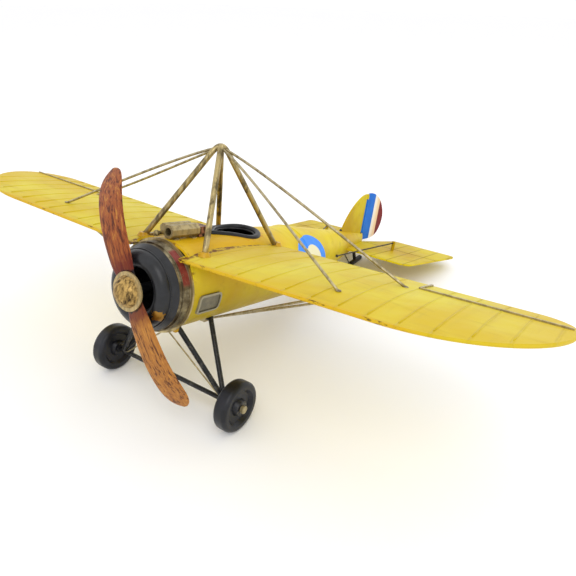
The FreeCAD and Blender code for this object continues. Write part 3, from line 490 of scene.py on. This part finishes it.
node_finish = {
    "fuselage_barrel": "body", "fuselage_tail_cone": "body", "nose_former": "black",
    "wing_port": "wing", "wing_starboard": "wing",
    "tailplane_port": "tail", "tailplane_starboard": "tail", "fin": "tail",
    "elevator_horns": "tail", "cabane_foot_solder": "solder",
    "cockpit_coaming": "black", "cowl_nose_ring": "ring", "cowl_band": "band",
    "cowl_rim": "brass", "spinner_flange": "dome", "spinner_dome": "dome",
    "shaft_bush": "brass", "propeller_hub": "black", "blade_upper": "blade",
    "blade_lower": "blade", "rudder": "rudder", "side_plates": "plate",
    "gun_jacket": "gun", "gun_small_barrel": "gun", "gun_saddles": "gun",
    "gun_breech": "breech", "hub_caps": "nut", "wheel_port": "wheel",
    "wheel_starboard": "wheel", "axle": "black", "axle_collars": "black",
    "tail_skid": "black", "skid_wire": "steel", "control_rods": "steel",
    "control_rod_pins": "steel", "rudder_post": "steel", "propeller_shaft": "steel",
    "shaft_collar": "steel", "aileron_outlines": "rod", "wing_root_rod": "rod",
    "belly_anchor": "rod", "cross_wire_to_port": "rod", "cross_wire_to_starboard": "rod",
}
for name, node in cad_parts.items():
    key = node_finish.get(name)
    if key is None:
        key = "black" if name.startswith("gear_strut") else "rod" if "brace" in name else "brass"
    node.data.materials.clear()
    node.data.materials.append(finishes[key])

# ---- Bevelled edges on the pieces whose corners catch the light -------------------------
bevel_widths = {             # in millimetres
    "wing_port": 0.35, "wing_starboard": 0.35, "tailplane_port": 0.3, "tailplane_starboard": 0.3,
    "fin": 0.3, "rudder": 0.3, "gun_breech": 0.5, "gun_jacket": 0.25, "cowl_rim": 0.4,
    "side_plates": 0.2, "gun_saddles": 0.3, "propeller_hub": 0.4, "spinner_flange": 0.3,
    "hub_caps": 0.4, "belly_anchor": 0.4,
}
for name, width in bevel_widths.items():
    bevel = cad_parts[name].modifiers.new("rounded edges", "BEVEL")
    bevel.width = width * MM
    bevel.segments = 2
    bevel.limit_method = "ANGLE"
    bevel.angle_limit = math.radians(40)


# ---- New pieces ------------------------------------------------------------------------
def keep(obj, finish, body="airframe"):
    """Paint a new piece and let it ride on a body."""
    obj.data.materials.clear()
    obj.data.materials.append(finishes[finish])
    bpy.context.scene.collection.objects.link(obj)
    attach(obj, body)
    return obj


def mesh_piece(name, mesh, finish, body="airframe"):
    """A smooth-shaded piece made from a finished bmesh."""
    data = bpy.data.meshes.new(name)
    mesh.to_mesh(data)
    mesh.free()
    for polygon in data.polygons:
        polygon.use_smooth = True
    return keep(bpy.data.objects.new(name, data), finish, body)


def bead(name, path, radius, finish, closed=False, sides=10):
    """A round bead of that radius, in millimetres, along points of the level aeroplane."""
    points = [placed(*point) for point in path]
    count = len(points)
    mesh = bmesh.new()
    rings = []
    for index, point in enumerate(points):
        before = points[index - 1] if closed or index else point
        after = points[(index + 1) % count] if closed or index < count - 1 else point
        along = (after - before).normalized()
        turn = along.to_track_quat("Z", "Y").to_matrix().to_4x4()
        where = Matrix.Translation(point) @ turn
        made = bmesh.ops.create_circle(mesh, segments=sides, radius=radius * MM, matrix=where)
        rings.append(made["verts"])
    pairs = list(zip(rings[:-1], rings[1:]))
    if closed:
        pairs.append((rings[-1], rings[0]))
    for first, second in pairs:
        # The turn of neighbouring rings can differ, so each is matched by its nearest corner.
        start = min(range(sides), key=lambda k: (second[k].co - first[0].co).length)
        for k in range(sides):
            mesh.faces.new((first[k], first[(k + 1) % sides],
                            second[(start + k + 1) % sides], second[(start + k) % sides]))
    if not closed:
        mesh.faces.new(list(reversed(rings[0])))
        mesh.faces.new(rings[-1])
    bmesh.ops.recalc_face_normals(mesh, faces=mesh.faces)
    return mesh_piece(name, mesh, finish)


def evenly(start, end, count):
    """Count + 1 values from start to end."""
    return [start + (end - start) * step / count for step in range(count + 1)]


# Pressed ribs on the tail plates, each sunk a little into the skin.
for side, name in SIDES:
    for number in range(1, TAIL_RIBS + 1):
        x = side * (TAIL_RIB_X + RIB_SPACING * number)
        for part, front_y, back_y in (("tailplane", 221.0, 260.0), ("elevator", 265.5, 291.0)):
            ridge = [(x, y, TAIL_TOP - 0.2) for y in evenly(front_y, back_y, 4)]
            bead("%s_rib_%s_%d" % (part, name, number), ridge, 0.36, "tail", sides=8)


def wing_surface(x, y):
    """Middle height of the wing plate, from its slope and its camber."""
    share = (y - LEADING_Y) / (TRAILING_Y - LEADING_Y)
    return WING_ROOT_Z + WING_RISE * x + 4.0 * WING_CAMBER * share * (1.0 - share)


def wing_rim(side, inset=0.5):
    """Points inset from the leading edge, the round tip and the trailing edge."""
    front_root_x, rear_root_x = 21.5, 22.0
    points = [(x, LEADING_Y + inset) for x in evenly(front_root_x, FRONT_TIP_X, 24)[:-1]]
    for angle in evenly(0.0, math.pi / 2, 24):
        points.append((FRONT_TIP_X + (HALF_SPAN - FRONT_TIP_X - inset) * math.sin(angle),
                       WIDEST_Y - (WIDEST_Y - LEADING_Y - inset) * math.cos(angle)))
    for angle in evenly(0.0, math.pi / 2, 16)[1:]:
        points.append((REAR_TIP_X + (HALF_SPAN - REAR_TIP_X - inset) * math.cos(angle),
                       WIDEST_Y + (TRAILING_Y - WIDEST_Y - inset) * math.sin(angle)))
    points += [(x, TRAILING_Y - inset) for x in evenly(REAR_TIP_X, rear_root_x, 24)[1:]]
    return [(side * x, y, wing_surface(x, y)) for x, y in points]


def rib_start(x):
    """3.5 mm behind the leading edge, and about that behind the curve of the tip."""
    if x < FRONT_TIP_X:
        return LEADING_Y + 3.5
    across = (x - FRONT_TIP_X) / (HALF_SPAN - FRONT_TIP_X)
    return WIDEST_Y + 3.5 - 58.0 * math.sqrt(1.0 - across ** 2)


def rib_end(x):
    """Just short of the trailing edge, and further in where the tip curves."""
    return TRAILING_Y - (3.0 if x < REAR_TIP_X - 2.0 else 8.0)


for side, name in SIDES:
    bead("wing_folded_edge_" + name, wing_rim(side), 0.85, "wing")
    for number in range(1, WING_RIBS + 1):
        x = FIRST_RIB_X + RIB_SPACING * number
        ridge = [(side * x, y, wing_surface(x, y) + 0.85)
                 for y in evenly(rib_start(x), rib_end(x), 12)]
        bead("wing_rib_%s_%d" % (name, number), ridge, 0.42, "wing", sides=8)


def deck_height(x, y):
    """Height of the body sheet over the shaft line, rounder towards the tail."""
    rounding = 0.85 * min(1.0, max(0.0, y - SQUARE_TO_Y) / 24.0)
    squareness = DECK_SQUARENESS - rounding
    return DECK_TOP * (1.0 - (abs(x) / BODY_RADIUS) ** squareness) ** (1.0 / squareness)


def coaming_path(radius, point_y, lift):
    """The cockpit's teardrop edge, over the curved deck.

    Straight sides run from the point in front to where they touch the round end.
    """
    reach = COCKPIT_Y - point_y
    touch = math.acos(radius / reach)
    points = []
    for step in range(1, 13):
        share = step / 13
        points.append((radius * math.sin(touch) * share,
                       point_y + (reach - radius * math.cos(touch)) * share))
    for angle in evenly(touch, 2 * math.pi - touch, 48):
        points.append((radius * math.sin(angle), COCKPIT_Y - radius * math.cos(angle)))
    points += [(-x, y) for x, y in reversed(points[:12])]
    points.append((0.0, point_y + 0.4))
    return [(x, y, deck_height(x, y) + lift) for x, y in points]


coaming = bead("cockpit_rolled_edge", coaming_path(13.9, 51.0, 0.1), 1.9, "black",
               closed=True, sides=14)
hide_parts("cockpit_coaming")
bead("cockpit_inner_fold", coaming_path(12.0, 54.0, -0.9), 0.8, "black", closed=True, sides=8)
# Paint worn off the deck outside the roll, on the port side only.
worn_side = [point for point in coaming_path(15.9, 49.0, -0.7) if point[0] > 4.0]
bead("cockpit_worn_lip", worn_side, 0.75, "solder")


def ring_path(radius, y, steps=72):
    """A circle round the shaft line."""
    angles = evenly(0.0, 2 * math.pi, steps)[:-1]
    return [(radius * math.cos(angle), y, radius * math.sin(angle)) for angle in angles]


for name, radius, y, thickness, finish in (
        ("body_seam_bead", BODY_RADIUS, SEAM_Y, 0.4, "body"),
        ("cowl_ridge_front", 24.2, 6.7, 0.5, "band"),
        ("cowl_groove_ring", 21.3, 1.0, 0.45, "ring")):
    bead(name, ring_path(radius, y), thickness, finish, closed=True, sides=8)


# ---- Tower tubes, bent over at the crown, and the bowed bracing rods ---------------------
def leg(side, foot_y):
    """Where the bend of that leg begins, which way it points there, and its foot."""
    foot = Vector((side * FOOT_X, foot_y, FOOT_Z))
    along = (CROWN - foot).normalized()
    return CROWN - along * BEND_LENGTH, along, foot


def bezier(points, count):
    """Points on the cubic curve with those four control points."""
    first, second, third, last = (Vector(point) for point in points)
    curve = []
    for step in range(count + 1):
        t = step / count
        u = 1.0 - t
        curve.append(first * u ** 3 + second * (3 * u * u * t) + third * (3 * u * t * t)
                     + last * t ** 3)
    return curve


def bent_tube(name, first, second):
    """One tube up a leg, over the crown and down the opposite leg."""
    bend, along, foot = leg(*first)
    other_bend, other_along, other_foot = leg(*second)
    crown = bezier((bend, bend + along * BEND_PULL,
                    other_bend + other_along * BEND_PULL, other_bend), 20)
    rise = [foot.lerp(bend, step / 8) for step in range(8)]
    fall = [other_bend.lerp(other_foot, step / 8) for step in range(1, 9)]
    return bead(name, rise + crown + fall, TUBE_RADIUS, "brass", sides=14)


front_tube = bent_tube("tower_tube_front_port", (1, FRONT_FOOT_Y), (-1, REAR_FOOT_Y))
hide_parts("cabane_front_port", "cabane_rear_starboard")
rear_tube = bent_tube("tower_tube_rear_port", (1, REAR_FOOT_Y), (-1, FRONT_FOOT_Y))
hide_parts("cabane_rear_port", "cabane_front_starboard")

# How far each upper rod bows up near the crown and near the wing.
rod_bows = {
    "upper_brace_front_port": (4.5, 0.5), "upper_brace_rear_port": (4.0, 1.0),
    "upper_brace_front_starboard": (3.5, 0.8), "upper_brace_rear_starboard": (0.5, -3.0),
}
for node, (near_crown, near_wing) in rod_bows.items():
    side = 1 if node.endswith("port") else -1
    front = "front" in node
    x, y = FRONT_ROD_END if front else REAR_ROD_END
    wing_end = Vector((side * x, y, 24.2 if front else 25.0))
    crown_end = Vector((side * 1.5, CROWN.y - 1.0 if front else CROWN.y + 1.0, 75.6))
    first = crown_end.lerp(wing_end, 0.22) + Vector((0.0, 0.0, near_crown))
    second = crown_end.lerp(wing_end, 0.7) + Vector((0.0, 0.0, near_wing))
    rod = bead(node + "_bowed", bezier((crown_end, first, second, wing_end), 24), ROD_RADIUS,
               "rod")
    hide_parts(node)


def blob(name, centre, size, finish, body="airframe", lumps=0.25):
    """A lump of solder or paint, out of round by a little."""
    mesh = bmesh.new()
    bmesh.ops.create_icosphere(mesh, subdivisions=3, radius=1.0)
    for vertex in mesh.verts:
        swell = 1.0 + lumps * noise.noise(vertex.co * 1.7 + Vector(centre))
        grown = Vector([vertex.co[i] * swell * size[i] for i in range(3)])
        vertex.co = placed(*(Vector(centre) + grown))
    return mesh_piece(name, mesh, finish, body)


# Centre, half-sizes along each axis and finish of each lump, on both sides of the aeroplane.
paired_lumps = {
    "foot_solder_front": ((23.4, 21.2, 21.6), (3.4, 3.0, 1.2), "solder"),
    "foot_solder_rear": ((23.4, 88.0, 21.0), (3.0, 3.4, 1.1), "solder"),
    "strut_solder_front": ((13.6, 14.8, -21.6), (2.6, 2.6, 1.9), "solder"),
    "strut_solder_rear": ((13.6, 43.4, -21.2), (2.2, 2.4, 1.7), "black"),
    "brace_solder_front": ((*FRONT_ROD_END, 24.6), (1.4, 1.4, 0.6), "rod"),
    "brace_solder_rear": ((*REAR_ROD_END, 25.3), (1.4, 1.4, 0.6), "rod"),
    "rod_eye": ((15.8, 190.0, 0.4), (1.1, 1.1, 1.1), "steel"),
}
for side, name in SIDES:
    for lump, ((x, y, z), size, finish) in paired_lumps.items():
        blob(lump + "_" + name, (side * x, y, z), size, finish)
blob("fin_front_pin", (0, 219.4, 15.3), (1.1, 1.3, 1.1), "black")
blob("fin_rear_pin", (0, 258.0, 9.8), (1.2, 0.9, 1.4), "black")
blob("apex_solder", (0, 52.0, 75.2), (2.6, 3.0, 2.0), "brass")
blob("gun_breech_knob", (2.6, 45.6, 31.2), (1.7, 1.5, 1.4), "breech")

# ---- Camera, light and backdrop ---------------------------------------------------------
camera_data = bpy.data.cameras.new("camera")
camera_data.lens = 35.0
camera_data.sensor_width = 36.0
camera_data.clip_start = 0.01
camera = bpy.data.objects.new("camera", camera_data)
camera.location = (0.2104, -0.3119, 0.2214)
camera.rotation_euler = (1.07731, -0.01564, 0.60399)
bpy.context.scene.collection.objects.link(camera)
bpy.context.scene.camera = camera


def lamp(name, place, aim, size, power):
    """A round soft light, in metres and watts, that belongs to the studio."""
    data = bpy.data.lights.new(name, "AREA")
    data.shape = "DISK"
    data.size = size
    data.energy = power
    light = bpy.data.objects.new(name, data)
    light.location = place
    light.rotation_euler = (Vector(aim) - Vector(place)).to_track_quat("-Z", "Y").to_euler()
    bpy.context.scene.collection.objects.link(light)


middle = (0.0, 0.0, 0.05)
lamp("soft_key", (0.55, -0.75, 1.1), middle, 0.8, 4.0)
lamp("soft_fill", (-0.9, -0.5, 0.6), middle, 0.9, 0.5)
lamp("soft_back", (0.2, 1.0, 0.9), middle, 0.9, 1.5)

world = bpy.data.worlds.new("studio")
bpy.context.scene.world = world
world.use_nodes = True
background = world.node_tree.nodes["Background"]
background.inputs["Color"].default_value = colour("fcfcfd")
background.inputs["Strength"].default_value = 1.06

floor_mesh = bmesh.new()
bmesh.ops.create_grid(floor_mesh, x_segments=1, y_segments=1, size=6.0)
floor_data = bpy.data.meshes.new("floor")
floor_mesh.to_mesh(floor_data)
floor_mesh.free()
floor = bpy.data.objects.new("floor", floor_data)
floor_paint = bpy.data.materials.new("pale_studio_floor")
floor_paint.use_nodes = True
floor_shader = floor_paint.node_tree.nodes["Principled BSDF"]
floor_shader.inputs["Base Color"].default_value = colour("fbfbfb")
floor_shader.inputs["Roughness"].default_value = 0.9
floor_data.materials.append(floor_paint)
bpy.context.scene.collection.objects.link(floor)

bpy.context.scene.view_settings.view_transform = "Standard"
bpy.context.scene.view_settings.exposure = 0.0

bpy.context.view_layer.update()
